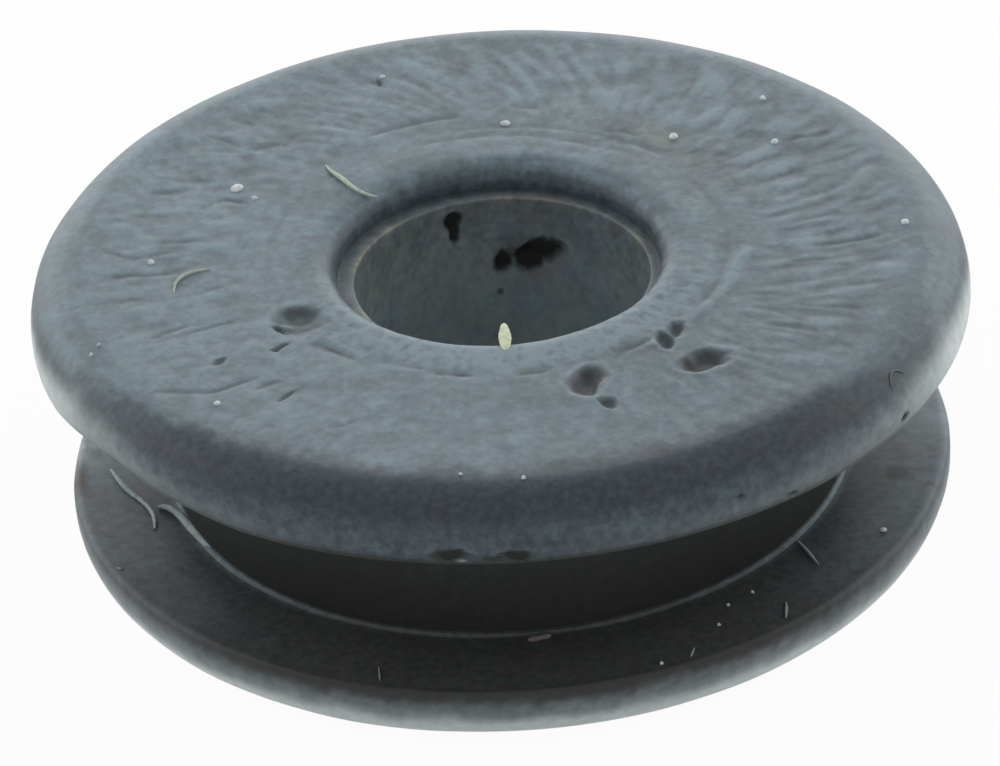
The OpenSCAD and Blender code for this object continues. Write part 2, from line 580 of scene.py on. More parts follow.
def face_skin(places):
    """The relief, the tone above plain with light and shade painted into it, and the creases' and
    furrows' mask for painted shade, at places on the upper face.
    """
    angles, radii = angles_and_radii(places)
    wrinkles = wrinkle_relief(angles, radii) * between(WRINKLE_SHARE, angles)
    wrinkles *= smooth(5.2, 6.5, radii) * fall(8.2, 9.3, radii)
    mottle = noise_at(places * 1.7) + 0.8 * noise_at(places * 3.6 + 9)
    mottle *= between(MOTTLE_SHARE, angles)
    speckle = noise_at(places * 7 + 21)
    grit = noise_at(places * 4.6 + 31) + 0.6 * noise_at(places * 10)
    flat = smooth(4.7, 5.6, radii) * fall(8.2, 9, radii)
    collar = fall(4.25, 5.25, radii)
    rough = soft_patch(angles, radii, *ROUGH_PATCH)
    creases = crease_relief(angles, radii)
    furrows = line_relief(places[:, :2], FURROWS, FURROW_WIDTH)
    folds = line_relief(places[:, :2], FOLDS, FOLD_WIDTH)

    relief = WRINKLE_DEPTH * wrinkles + MOTTLE_DEPTH * mottle * (0.25 + flat)
    relief += COLLAR_RISE * collar + GRIT_DEPTH * grit * collar + ROUGH_DEPTH * speckle * rough
    relief += FOLD_HEIGHT * folds - CREASE_DEPTH * creases - FURROW_DEPTH * furrows

    # The tone paints light on the wrinkles' crests and the folds and shade in the wrinkles' feet, and by
    # angle the light that falls on the collar and the face
    tone = 0.45 * wrinkles + 0.3 * mottle * (0.7 + 0.3 * flat) + 0.9 * folds + 0.15 * speckle
    tone += 0.3 * grit * (2.2 * collar * at_front(angles, 40, 100) + 0.25)
    tone += between(COLLAR_TONE, angles) * collar + between(FACE_TONE, angles) * (1 - collar)
    tone -= (0.22 - 0.3 * speckle) * rough
    return relief, tone, np.maximum(creases, 0.55 * furrows)


def face_relief(points):
    """The upper face's height in millimetres, its tone with painted light and shade, and its creases'
    mask for painted shade.
    """
    _, radii = angles_and_radii(points)
    face = (points[:, 2] > HEIGHT - 0.4) & (radii > LEDGE_R)
    relief, tone, crease = np.zeros((3, len(points)))
    relief[face], tone[face], crease[face] = face_skin(points[face])
    return relief, PLAIN_TONE + tone, crease


# ---------------------------------------------------------------- bloom, wear, dirt and painted light and shade of the moulding
# How far the bloom reaches along the upper face and on down the rim's wall, by angle round the bore:
# farthest at the sides and back, where it paints the light that falls there
BLOOM_REACH = [
    (-95, 8.85), (-60, 8.9), (-45, 9.3), (-36, 9.85), (-28, 10.25), (-18, 10.6), (5, 11.2),
    (60, 11.5), (120, 11.5), (180, 11.2), (198, 10.5), (222, 9.42), (245, 9),
]
# How wide its fading edge is there, and how much farther out its thin tail runs
BLOOM_FADE = [(-90, 0.65), (-40, 0.9), (0, 1), (180, 1), (225, 0.95), (250, 0.75)]
BLOOM_TAIL = 0.9
# How much of it lies on the upper rim's wall and on the top of the lower flange: painted light, most at
# the sides
WALL_BLOOM = [(-90, 0.27), (-45, 0.38), (-30, 0.48), (0, 0.6), (180, 0.5), (210, 0.3)]
LOWER_BLOOM = [
    (-90, 0), (-55, 0.03), (-30, 0.27), (-12, 0.5), (2, 0.9), (160, 0.6), (180, 0.46),
    (194, 0.36), (208, 0.22), (235, 0.03),
]
# A patch of painted light on the lower flange's left, as soft_patch takes it, and its strength
PALE_PATCH = (171, 9.1, 5, 0.5)
PALE_PATCH_SHARE = 0.85
# How much painted glow lies along the foot of the upper rim's wall, most at the sides
WALL_CHALK = [
    (-90, 0), (-60, 0.07), (-41, 0.16), (-33, 0.32), (-26, 0.66), (-19, 1), (180, 0.9),
    (199, 0.76), (207, 0.43), (213, 0.27), (219, 0.2), (226, 0.12), (245, 0),
]
# How high up the wall that painted glow reaches
CHALK_TOP = [
    (-90, 5.75), (-60, 5.85), (-40, 6.1), (-24, 6.2), (-12, 6.1), (0, 5.75), (60, 5.5),
    (120, 5.5), (180, 5.75), (192, 5.95), (203, 6.2), (214, 6.1), (225, 5.85),
]
# A pale fleck in the wall's foot at the front: angle, height, half length in degrees, half height
CHALK_FLECK = (263, 5.19, 0.8235, 0.045)
# Patches of painted light on top of the lower flange, each as soft_patch takes it, with its strength
CHALK_PATCHES = [(171, 9.1, 5, 0.45, 0.36), (2, 8.95, 7, 0.4, 0.16), (184, 8.8, 7, 0.5, 0.03)]
# How pale the flash bead at the neck's foot is: a painted highlight, strongest at the sides
BEAD_BLOOM = [(-90, 0.04), (-62, 0.16), (-40, 0.5), (-18, 1), (195, 0.9), (215, 0.5), (240, 0.2)]
# The tone of plain rubber, from 0, dark, to 1, pale, and how much paler than that the raised collar
# round the mouth is, and the face outside it, by angle round the bore, which paints the light falling
# there
PLAIN_TONE = 0.5
COLLAR_TONE = [(-90, 0.44), (-40, 0.18), (0, -0.07), (90, 0), (180, -0.07), (220, 0.14)]
FACE_TONE = [
    (-95, -0.06), (-55, -0.24), (-10, -0.11), (60, -0.02), (150, 0.07), (190, 0.12), (235, 0.02),
]
# How high up the neck's wall the painted light under the upper rim is whole
NECK_FILM = [(-90, 3.3), (-62, 3.1), (-35, 2.5), (90, 2.5), (215, 2.5), (242, 3.1)]


def on_lower(points, radii, from_r=LEDGE_R):
    """Whether each point is on the lower flange and farther than from_r from the axis."""
    return (points[:, 2] < FLANGE_T + NEAR) & (radii > from_r)


def upper_bloom(points, angles, radii):
    """The bloom on the upper face, with painted light over its rim at the sides and back, and painted
    shade down into the mouth.
    """
    heights = points[:, 2]
    out = radii + HEIGHT - heights
    wander = 0.3 * noise_at(points * 0.9) + 0.15 * noise_at(points * 3)
    reach = between(BLOOM_REACH, angles) + wander
    face = 0.86 * fall(reach - between(BLOOM_FADE, angles), reach, out)
    face += 0.14 * fall(reach - 0.3, reach + BLOOM_TAIL, out)
    # Painted light on the rim's wall, most at the sides
    wall = between(WALL_BLOOM, angles) * smooth(UPPER_T + 0.05, UPPER_T + 0.4, heights)
    wall *= fall(HEIGHT - 0.72, HEIGHT - 0.38, heights)
    # Painted shade down into the mouth
    mouth = 0.3 + 0.7 * smooth(HEIGHT - 0.24, HEIGHT - 0.07, heights + 0.2 * wander)
    rim = np.where(heights > UPPER_T + 0.02, np.maximum(face, wall), 0)
    return np.where(radii < MOUTH_R, mouth, rim)


def lower_bloom(points, angles, radii):
    """Painted light on the lower flange, in the bloom's colour: on its top at the sides, at its wall's
    foot and on its face.
    """
    uneven = 0.5 * noise_at(points * 1.1 + 8) + 0.4 * noise_at(points * 3.1) + 0.3 * noise_at(points * 7)
    top = between(LOWER_BLOOM, angles) * smooth(NECK_R + 0.15, 8.6, radii) * (1 + uneven)
    top += PALE_PATCH_SHARE * soft_patch(angles, radii, *PALE_PATCH)
    heights = points[:, 2] + 0.15 * noise_at(points * 2.2)
    return np.maximum.reduce([top, 0.3 * fall(1.12, 1.38, heights), fall(0.25, 0.95, heights)])


def neck_bloom(points, angles, radii):
    """A painted highlight on the flash bead, and painted light high on the neck's wall, under the upper
    rim.
    """
    off_bead = np.hypot(
        np.maximum(radii - NECK_R - FLASH_BEAD, 0), points[:, 2] - FLANGE_T - FLASH_BEAD / 2
    )
    bead = between(BEAD_BLOOM, angles) * fall(0.06, 0.2, off_bead)
    bead *= smooth(NECK_R + 0.005, NECK_R + 0.03, radii)
    whole = between(NECK_FILM, angles)
    return np.maximum(bead, 0.26 * smooth(whole - 0.6, whole, points[:, 2]))


def bore_bloom(heights):
    """The bloom on the bore's wall, which also paints light into the bore, thinner high up, and on the
    upper ledge.
    """
    wall = 1 - 0.22 * smooth(4.2, 5.4, heights)
    return np.where(heights > BORE_TOP - 0.03, 0.6, wall)


def bloom_mask(points):
    """How much pale bloom, and light painted in its colour, lies at each point."""
    angles, radii = angles_and_radii(points)
    heights = points[:, 2]
    bloom = np.where(heights > FLANGE_T + 0.3, upper_bloom(points, angles, radii), 0)
    bloom = np.where(on_lower(points, radii), lower_bloom(points, angles, radii), bloom)
    neck = (radii < NECK_R + 0.3) & (heights > FLANGE_T - 0.02) & (heights < UPPER_T + 0.02)
    bloom = np.where(neck, neck_bloom(points, angles, radii), bloom)
    return np.where(radii < LEDGE_R - 0.02, bore_bloom(heights), bloom)


def bore_tone(points):
    """How much paler the bore's film is in streaks, with painted light low down and painted shade near
    its top.
    """
    _, radii = angles_and_radii(points)
    edge = smooth(BORE_TOP - 0.6, BORE_TOP - 0.2, points[:, 2])
    low = fall(3, 5.3, points[:, 2])
    streaks = noise_at(points * np.array([2.5, 2.5, 7])) + noise_at(points * 7 + 4)
    return (radii < LEDGE_R - 0.02) * (0.35 * low - 0.2 * edge + 0.35 * streaks + 0.1)


def lower_chalk(points, angles, radii, heights):
    """The painted glow at the foot of the lower rim, and its patches of painted light on top of the
    flange.
    """
    chalk = 0.78 * fall(0.5, 0.95, heights) + 0.22 * fall(0.85, 1.4, heights)
    chalk *= smooth(8.1, 8.8, radii)
    uneven = (1 + 1.2 * noise_at(points * 4)) * (points[:, 2] > 1)
    for *patch, strength in CHALK_PATCHES:
        chalk = np.maximum(chalk, strength * soft_patch(angles, radii, *patch) * uneven)
    return chalk


def upper_chalk(points, angles, radii, heights):
    """The painted glow along the foot of the upper rim's wall, and its one pale fleck."""
    top = between(CHALK_TOP, angles)
    band = between(WALL_CHALK, angles) * fall(UPPER_T + 0.4 * (top - UPPER_T), top, heights)
    band *= smooth(9, 9.5, radii) * (points[:, 2] > UPPER_T - NEAR)
    angle, height, half_length, half_height = CHALK_FLECK
    off = np.hypot(turn_from(angles, angle) / half_length, (points[:, 2] - height) / half_height)
    return np.maximum(band, 0.5 * fall(0.5, 1.2, off) * (radii > 9))


def chalk_mask(points):
    """The painted glow on both rims, and a faint pale trace in the bore."""
    angles, radii = angles_and_radii(points)
    heights = points[:, 2] + 0.12 * noise_at(points * 1.6 + 3)
    upper = upper_chalk(points, angles, radii, heights)
    lower = lower_chalk(points, angles, radii, heights)
    bore = 0.1 * noise_at(points * 6) + 0.07 * noise_at(points * 12)
    bore += 0.06 * fall(4.6, 5.3, points[:, 2])
    chalk = np.where(radii < BORE_R + NEAR, bore, upper)
    return np.where(on_lower(points, radii), lower, chalk)


# Dark spots on the lower flange: angle, radius, half length round the bore, half width, strength
STAINS = [
    (180, 9.24, 0.8, 0.17, 1),
    (173.2, 8.95, 0.24, 0.2, 0.55),
    (-13.7, 8.4, 0.36, 0.3, 1),
    (2.2, 8.59, 0.16, 0.1, 0.5),
    (-3, 8.07, 0.18, 0.12, 0.5),
]
# A darker patch round the bore's deep pits: angle, height, half length in degrees, half height
PIT_HALO = (79.5, 4.62, 15, 0.45)
# A pale warm arc under those pits: angle and height of each place on it
PALE_ARC = [(85, 3.84), (79, 3.9), (72, 4.12), (65.5, 4.42)]


def dirt_mask(points):
    """Painted shade in the corner of each ledge and over the top of the lower rim's front, and the dark
    spots.
    """
    angles, radii = angles_and_radii(points)
    heights = points[:, 2]
    from_face = np.minimum(heights, HEIGHT - heights)
    # Painted shade in the corner of each ledge
    dirt = 0.55 * bell(np.hypot(radii - LEDGE_R, from_face - LEDGE_DEPTH), 0.07)
    flange = on_lower(points, radii, NECK_R)
    ragged = 0.18 * noise_at(points * 3.4) + 0.12 * noise_at(points * 8)
    # Painted shade over the top of the lower rim at the front
    edge = 0.8 * at_front(angles, 30, 75) * smooth(1.05, 1.4, heights + ragged)
    dirt = np.maximum(dirt, edge * smooth(9.15, 9.35, radii) * flange)
    for angle, radius, half_length, half_width, strength in STAINS:
        along = np.radians(turn_from(angles, angle)) * radii / half_length
        off = np.hypot(along, (radii - radius) / half_width) + 1.5 * ragged
        dirt = np.maximum(dirt, strength * fall(0.4, 1.2, off) * (heights > 1) * flange)
    return dirt


def shade_mask(points):
    """A darker patch in the bore round its deep pits, and painted shade on the neck's wall under the
    upper rim, most at its sides.
    """
    angles, radii = angles_and_radii(points)
    angle, height, half_length, half_height = PIT_HALO
    off = np.hypot(turn_from(angles, angle) / half_length, (points[:, 2] - height) / half_height)
    halo = 0.5 * fall(0.3, 1.2, off) * (radii < BORE_R + 0.05)
    # Painted shade on the neck's wall
    wall = (points[:, 2] > FLANGE_T) & (points[:, 2] < UPPER_T + NEAR) & (np.abs(radii - NECK_R) < NEAR)
    return np.maximum(halo, (0.84 - 0.12 * at_front(angles, 12, 40)) * wall)


def under_mask(points):
    """Painted shade on the upper rim's underside, left out where its wall's foot has the painted glow."""
    angles, radii = angles_and_radii(points)
    edge = fall(UPPER_T + 0.02, UPPER_T + 0.22, points[:, 2])
    outside = (radii > NECK_R + 0.3) & (points[:, 2] > UPPER_T - NEAR)
    return edge * outside * np.clip(1 - 1.6 * between(WALL_CHALK, angles), 0, 1)


def straw_mask(points):
    """The warm film along the bore's upper edge and on its wall, and its trace on the rough patch."""
    angles, radii = angles_and_radii(points)
    heights = points[:, 2]
    off = np.hypot(radii - BORE_R - 0.04, heights - BORE_TOP)
    patches = smooth(-0.3, 0.3, noise_at(points * 1.3)) * smooth(-0.4, 0.2, noise_at(points * 6))
    edge = (0.25 + 0.75 * patches) * bell(off, 0.08)

    wall = np.stack([np.radians(angles) * BORE_R, heights], 1)
    stops = [np.array((math.radians(angle) * BORE_R, height)) for angle, height in PALE_ARC]
    off_arc = np.min([line_distance(wall, a, b) for a, b in zip(stops, stops[1:])], axis=0)
    film = 0.24 + 0.3 * noise_at(points * 3.1 + 2) + 0.2 * noise_at(points * 8)
    bore = (radii < BORE_R + NEAR) * np.maximum(film, bell(off_arc, 0.08))

    trace = 0.3 * soft_patch(angles, radii, *ROUGH_PATCH) * (0.6 + noise_at(points * 2.6 + 12))
    trace *= (heights > HEIGHT - 0.3) & (radii > LEDGE_R)
    return np.maximum.reduce([edge, bore, trace])


def soil_mask(points):
    """The dull soil in the groove and on the lower flange, most at the front."""
    angles, radii = angles_and_radii(points)
    low = smooth(0.9, FLANGE_T - 0.1, points[:, 2]) * fall(UPPER_T - 0.1, UPPER_T + 0.3, points[:, 2])
    return low * (0.15 + 0.85 * at_front(angles, 25, 75)) * (radii > LEDGE_R)


# ---------------------------------------------------------------- the moulding's surface
# The depth of the skin's swell, and of the faint lines round the rim and the mouth
SWELL_DEPTH = 0.02
LINE_DEPTH = 0.006
# The masks that the mesh keeps for its material
MASKS = ("bloom", "tone", "dark", "straw", "soil", "chalk")
# How much painted shade a pit's floor has where it takes the dull rubber
DULL_DARKNESS = 0.86


def lean_upper(points):
    """Leans the upper flange, with the lower one left flat on the floor."""
    points[:, 2] -= UPPER_LEAN * points[:, 0] * smooth(FLANGE_T, UPPER_T, points[:, 2])


def shift_bore(points):
    """Moves the bore to the right inside its ledges, and the front of the upper mouth inwards."""
    angles, radii = angles_and_radii(points)
    points[:, 0] += BORE_SHIFT * fall(BORE_R + 0.05, LEDGE_R - 0.05, radii)
    lip = smooth(BORE_TOP, HEIGHT - 0.25, points[:, 2]) * fall(LEDGE_R + 0.4, MOUTH_R, radii)
    points[:, 1] += LIP_SHIFT * at_front(angles, 20, 75) * lip


def lift_rim(points):
    """Draws the upper rim's lower edge up where it came out of the mould thin."""
    angles, radii = angles_and_radii(points)
    low = (points[:, 2] > UPPER_T - 0.05) * fall(UPPER_T + 0.2, HEIGHT - 0.3, points[:, 2])
    points[:, 2] += between(RIM_LIFT, angles) * low * smooth(8.3, 9.6, radii)


def swell_relief(points):
    """The skin's slight swell with the faint lines round its rim and mouth, and the lines alone."""
    _, radii = angles_and_radii(points)
    out = radii + (HEIGHT - points[:, 2]) * np.where(radii < 6, -1, 1)
    lined = np.maximum(smooth(8.6, 9.2, radii), fall(4.6, 5.4, radii))
    lined *= (points[:, 2] > UPPER_T + 0.3) & (radii > LEDGE_R + 0.02)
    rows = np.stack([points[:, 0] * 0.3, points[:, 1] * 0.3, out * 5.5], 1)
    lines = noise_at(rows) * lined
    swell = noise_at(points * 0.55) * smooth(0, 0.4, points[:, 2])
    return SWELL_DEPTH * swell + LINE_DEPTH * lines, lines


def read_surface(obj):
    """The mesh's points, in millimetres, and outward normals, a row for each."""
    count = len(obj.data.vertices)
    points = np.empty(count * 3, np.float32)
    normals = np.empty(count * 3, np.float32)
    obj.data.vertices.foreach_get("co", points)
    obj.data.vertex_normals.foreach_get("vector", normals)
    return points.reshape(-1, 3).astype(float) / MM, normals.reshape(-1, 3).astype(float)


def keep_mask(obj, name, values):
    """Keeps a value from 0 to 1 at each point, for the material."""
    mask = obj.data.attributes.new(name, "FLOAT", "POINT")
    mask.data.foreach_set("value", np.clip(values, 0, 1).astype(np.float32))


def mould_surface(obj):
    """Gives the moulding its masks, its pits, wrinkles and creases, and its departures from true."""
    points, normals = read_surface(obj)
    pits, hollow, lip = pit_relief(points)
    face, tone, crease = face_relief(points)
    swell, lines = swell_relief(points)
    # The dark mask is painted shade in the pits, creases and furrows, the ledge corners, the groove and
    # under the upper rim, and holds the dark spots; the tone takes the painted highlight on the pits'
    # lips
    stains = [dirt_mask(points), shade_mask(points), under_mask(points)]
    masks = {
        "bloom": bloom_mask(points),
        "tone": tone + 0.3 * lip + 0.3 * lines + bore_tone(points),
        "dark": np.maximum.reduce([hollow, 0.85 * crease, *stains]),
        "straw": straw_mask(points),
        "soil": soil_mask(points),
        "chalk": chalk_mask(points),
    }
    for name in MASKS:
        keep_mask(obj, name, masks[name])
    points += normals * (pits + face + swell)[:, None]
    shift_bore(points)
    lift_rim(points)
    lean_upper(points)
    obj.data.vertices.foreach_set("co", (points * MM).astype(np.float32).ravel())
    obj.data.update()
    return hollow


def give_dull_slot(obj, hollow):
    """Gives the neck's wall, the upper rim's underside and the deep pits the second material slot."""
    obj.active_material_index = 1
    bpy.ops.object.mode_set(mode="EDIT")
    chosen = []
    for face in bmesh.from_edit_mesh(obj.data).faces:
        middle = face.calc_center_median() / MM
        neck = LEDGE_R < middle.xy.length < NECK_R + 0.05 and FLANGE_T < middle.z < UPPER_T - 0.15
        under = face.normal.z < -0.15 and UPPER_T - 0.2 < middle.z < UPPER_T + 0.55
        deep = min(hollow[vert.index] for vert in face.verts) > DULL_DARKNESS
        chosen.append(neck or under or deep)
    select_chosen_faces(obj, chosen)
    bpy.ops.object.material_slot_assign()
    bpy.ops.object.mode_set(mode="OBJECT")


def grommet_moulding():
    """The moulding: its section spun round the bore, cut finer where it has marks, and marked."""
    obj = draw_section()
    divide_section(obj)
    spin_section(obj)
    select_edges(obj, runs_round_face)
    bpy.ops.mesh.subdivide(number_cuts=FACE_CUTS)
    refine_pits(obj)
    bpy.ops.object.mode_set(mode="OBJECT")
    bpy.ops.object.shade_smooth_by_angle(angle=math.radians(40))
    hollow = mould_surface(obj)
    obj.data.materials.append(rubber_material())
    obj.data.materials.append(dull_rubber_material())
    give_dull_slot(obj, hollow)
    return obj


# ---------------------------------------------------------------- dust, fibres and flash on the moulding
def on_face(angle, radius, lift=0):
    """A place on the upper face or its round, in millimetres, that leans with the flange."""
    past = max(radius - FLAT_R, 0)
    drop = FACE_ROUND - math.sqrt(max(FACE_ROUND**2 - past**2, 0))
    place = polar(angle, radius, HEIGHT - drop + lift)
    place.z -= UPPER_LEAN * place.x
    return place


def on_flange(angle, radius, lift=0):
    """A place on the top of the lower flange, in millimetres."""
    return polar(angle, radius, FLANGE_T + lift)


# White specks of dust on the upper face and on the lower flange: angle, radius, length, width, turn
# in degrees, and how thick all of them are
SPECK_T = 0.12
DUST = [
    (149.5, 6.35, 0.34, 0.26, 55),
    (47.3, 5.83, 0.2, 0.24, 0),
    (86, 5.25, 0.24, 0.18, 0),
    (32, 7.2, 0.17, 0.2, 0),
    (43.5, 8.2, 0.15, 0.16, 0),
    (1.5, 8.7, 0.18, 0.2, 0),
    (176.8, 7.37, 0.16, 0.18, 0),
    (151.5, 5.8, 0.13, 0.13, 0),
    (221.5, 8.1, 0.17, 0.15, 0),
    (199.5, 9.2, 0.09, 0.08, 40),
    (198, 8.95, 0.08, 0.07, 0),
    (262.9, 8.75, 0.1, 0.08, 0),
    (271.4, 8.95, 0.1, 0.09, 0),
    (106.5, 7.8, 0.13, 0.12, 0),
]
LOWER_DUST = [
    (331.7, 8.8, 0.16, 0.12, 0),
    (308, 7.9, 0.07, 0.06, 0),
    (299, 8.45, 0.07, 0.06, 0),
    (288, 9.15, 0.08, 0.06, 0),
    (303, 7.95, 0.08, 0.06, 0),
]


def add_speck(place, length, width, turn):
    """Adds one flat speck at a place, both in millimetres."""
    bpy.ops.mesh.primitive_ico_sphere_add(
        subdivisions=2,
        radius=MM / 2,
        location=place * MM,
        rotation=(0, 0, math.radians(turn)),
        scale=(length, width, SPECK_T),
    )


def dust_specks():
    """Flat, uneven specks, each pressed a little into the rubber."""
    deselect_objects()
    specks = [(on_face(angle, radius), *size) for angle, radius, *size in DUST]
    specks += [(on_flange(angle, radius), *size) for angle, radius, *size in LOWER_DUST]
    add_speck(*specks[0])
    bpy.ops.object.transform_apply(location=True, rotation=True, scale=True)
    obj = open_piece("dust_specks")
    for speck in specks[1:]:
        add_speck(*speck)
    bpy.ops.mesh.select_all(action="SELECT")
    bpy.ops.transform.vertex_random(offset=0.015 * MM, uniform=0, normal=0, seed=4)
    bpy.ops.mesh.normals_make_consistent(inside=False)
    bpy.ops.object.mode_set(mode="OBJECT")
    bpy.ops.object.shade_smooth()
    return obj


def strand(name, places, radius, taper):
    """A thin strand along a smooth line through the places, thinner at its ends by its taper."""
    draw_outline(places, closed=False)
    obj = bpy.context.object
    obj.name = name
    smoother = obj.modifiers.new("smooth_line", "SUBSURF")
    smoother.levels = 3
    smoother.render_levels = 3
    bpy.ops.object.modifier_apply(modifier=smoother.name)
    bpy.ops.object.convert(target="CURVE")
    line = obj.data
    line.bevel_depth = radius * MM
    line.bevel_resolution = 3
    line.use_fill_caps = True
    points = line.splines[0].points
    for step, point in enumerate(points):
        share = step / (len(points) - 1)
        uneven = 0.88 + 0.12 * math.sin(share * 9 + radius * 90)
        point.radius = uneven * (1 - taper * (2 * share - 1) ** 4)
    bpy.ops.object.convert(target="MESH")
    obj.data.name = name
    bpy.ops.object.shade_smooth()
    return obj


def mouth_fibre():
    """A pale fibre that lies over the ring into the mouth's back left."""
    stops = [
        (132, 5.3, 0.02),
        (133.6, 5.0, 0.05),
        (134.5, 4.55, 0.07),
        (136, 4.2, 0.06),
        (136.4, 3.9, 0.05),
        (135.8, 3.7, 0.02),
        (134.2, 3.54, -0.01),
    ]
    return strand("mouth_fibre", [on_face(*stop) for stop in stops], 0.052, 0.75)


def face_fibre():
    """A short pale fibre on the left of the face."""
    stops = [
        (180, 6.1, 0),
        (180.5, 6.35, 0.015),
        (181.5, 6.65, 0.02),
        (184, 6.9, 0.015),
        (187.5, 6.95, 0),
    ]
    return strand("face_fibre", [on_face(*stop) for stop in stops], 0.045, 0.8)


def rim_squiggle():
    """A thin pale fibre curled on the front right of the rim."""
    stops = [
        (-34.9, 9.82, 0.01),
        (-34.1, 9.68, 0.02),
        (-33, 9.6, 0.02),
        (-31.9, 9.66, 0.02),
        (-31.5, 9.76, 0.01),
    ]
    return strand("rim_squiggle", [on_face(*stop) for stop in stops], 0.022, 0.8)


def flash_strand():
    """A loose strand of flash on the left of the lower flange."""
    stops = [
        (177.7, 8.6, 0),
        (181, 8.42, 0.02),
        (184.2, 8.26, 0.02),
        (188, 7.95, 0.03),
        (192.4, 7.84, 0.03),
        (195.5, 7.97, 0.01),
    ]
    return strand("flash_strand", [on_flange(*stop) for stop in stops], 0.062, 0.6)


def flash_tip():
    """Where the flash bead lifts off the neck's foot on the left."""
    stops = [
        (189.8, 7.72, 0.04),
        (190.6, 7.56, 0.07),
        (192.2, 7.42, 0.07),
        (194, 7.34, 0.05),
        (196.5, 7.28, 0.02),
        (199.5, 7.25, 0.02),
        (204, 7.22, 0.03),
        (210, 7.2, 0.02),
    ]
    return strand("flash_tip", [on_flange(*stop) for stop in stops], 0.095, 0.9)


def bead_crumb():
    """A small pinkish crumb on the flash bead at the front."""
    stops = [(270.5, 7.46, 0.01), (271.8, 7.47, 0.03), (273, 7.45, 0.05), (274.4, 7.41, 0.04)]
    return strand("bead_crumb", [on_flange(*stop) for stop in stops], 0.07, 0.8)


def flash_branch():
    """A thin branch of the flash on the right of the lower flange."""
    stops = [(323.7, 7.32, 0.02), (322.5, 7.6, 0.03), (321, 7.95, 0.03), (319.7, 8.28, 0.02)]
    return strand("flash_branch", [on_flange(*stop) for stop in stops], 0.03, 0.7)


def flange_fibres():
    """Short pale fibres that lie on the top of the lower flange, each with its own thickness."""
    runs = [
        (0.035, [(309.6, 8.7, 0.01), (308.5, 8.9, 0.03), (307, 9.15, 0.02)]),
        (0.018, [(249.1, 8.65, 0.01), (249.7, 8.85, 0.03), (250.4, 9.15, 0.02)]),
        (0.025, [(293.4, 8.92, 0.01), (292.8, 9.05, 0.02), (292, 9.2, 0.02)]),
        (0.03, [(203.2, 9.1, 0.01), (203.4, 9.18, 0.02), (202.8, 9.24, 0.02)]),
    ]
    fibres = [
        strand("flange_fibres", [on_flange(*stop) for stop in stops], radius, 0.6)
        for radius, stops in runs
    ]
    for fibre in fibres:
        fibre.select_set(True)
    bpy.context.view_layer.objects.active = fibres[0]
    bpy.ops.object.join()
    return fibres[0]


def bore_flake():
    """A pale flake on the front edge of the mouth, lying out over the bore."""
    deselect_objects()
    middle = on_face(270.6, 3.5, 0.06)
    bpy.ops.mesh.primitive_ico_sphere_add(
        subdivisions=3,
        radius=MM / 2,
        location=middle * MM,
        rotation=(math.radians(6), 0, 0),
        scale=(0.27, 0.95, 0.07),
    )
    bpy.ops.object.transform_apply(location=True, rotation=True, scale=True)
    obj = open_piece("bore_flake")
    bpy.ops.mesh.select_all(action="SELECT")
    bpy.ops.transform.vertex_random(offset=0.012 * MM, uniform=0, normal=0, seed=2)
    select_verts(obj, lambda co: co.y > middle.y + 0.15)
    bpy.ops.transform.resize(value=(0.85, 1, 1), center_override=middle * MM)
    bpy.ops.mesh.select_all(action="SELECT")
    bpy.ops.mesh.normals_make_consistent(inside=False)
    bpy.ops.object.mode_set(mode="OBJECT")
    bpy.ops.object.shade_smooth()
    return obj


# ---------------------------------------------------------------- materials
def new_material(name):
    """A new material, with its nodes, links and Principled shader."""
    material = bpy.data.materials.new(name)
    material.use_nodes = True
    tree = material.node_tree
    return material, tree, tree.nodes["Principled BSDF"]


def new_group(name, values, results):
    """A node group that takes the named values and gives results of the given kinds."""
    group = bpy.data.node_groups.new(name, "ShaderNodeTree")
    for value in values:
        group.interface.new_socket(value, in_out="INPUT", socket_type="NodeSocketFloat")
    for result, kind in results:
        group.interface.new_socket(result, in_out="OUTPUT", socket_type=kind)
    given = group.nodes.new("NodeGroupInput")
    gives = group.nodes.new("NodeGroupOutput")
    return group, given.outputs, gives.inputs


def use_group(tree, group, values=()):
    """Places a node group in a tree, fed by values in the order of its own."""
    node = tree.nodes.new("ShaderNodeGroup")
    node.node_tree = group
    for socket, value in zip(node.inputs, values):
        if isinstance(value, (int, float)):
            socket.default_value = value
        else:
            tree.links.new(value, socket)
    return node.outputs


def attribute(tree, name):
    """A mask that the mesh keeps."""
    node = tree.nodes.new("ShaderNodeAttribute")
    node.attribute_name = name
    return node.outputs["Fac"]


def noise_node(tree, size, detail=3, roughness=0.5, variant=0):
    """Noise whose features are about size millimetres wide. Each variant is another pattern."""
    where = tree.nodes.new("ShaderNodeTexCoord")
    node = tree.nodes.new("ShaderNodeTexNoise")
    node.noise_dimensions = "4D"
    node.inputs["W"].default_value = variant
    node.inputs["Scale"].default_value = 1 / (size * MM)
    node.inputs["Detail"].default_value = detail
    node.inputs["Roughness"].default_value = roughness
    tree.links.new(where.outputs["Object"], node.inputs["Vector"])
    return node.outputs["Fac"]


def remap(tree, value, low, high, to_low=0, to_high=1):
    """Spreads a value's range from low to high over another range."""
    node = tree.nodes.new("ShaderNodeMapRange")
    node.inputs["From Min"].default_value = low
    node.inputs["From Max"].default_value = high
    node.inputs["To Min"].default_value = to_low
    node.inputs["To Max"].default_value = to_high
    tree.links.new(value, node.inputs["Value"])
    return node.outputs["Result"]


def sum_up(tree, operation, value, other):
    """A value multiplied by or added to another value or a number."""
    node = tree.nodes.new("ShaderNodeMath")
    node.operation = operation
    tree.links.new(value, node.inputs[0])
    if isinstance(other, (int, float)):
        node.inputs[1].default_value = other
    else:
        tree.links.new(other, node.inputs[1])
    return node.outputs[0]


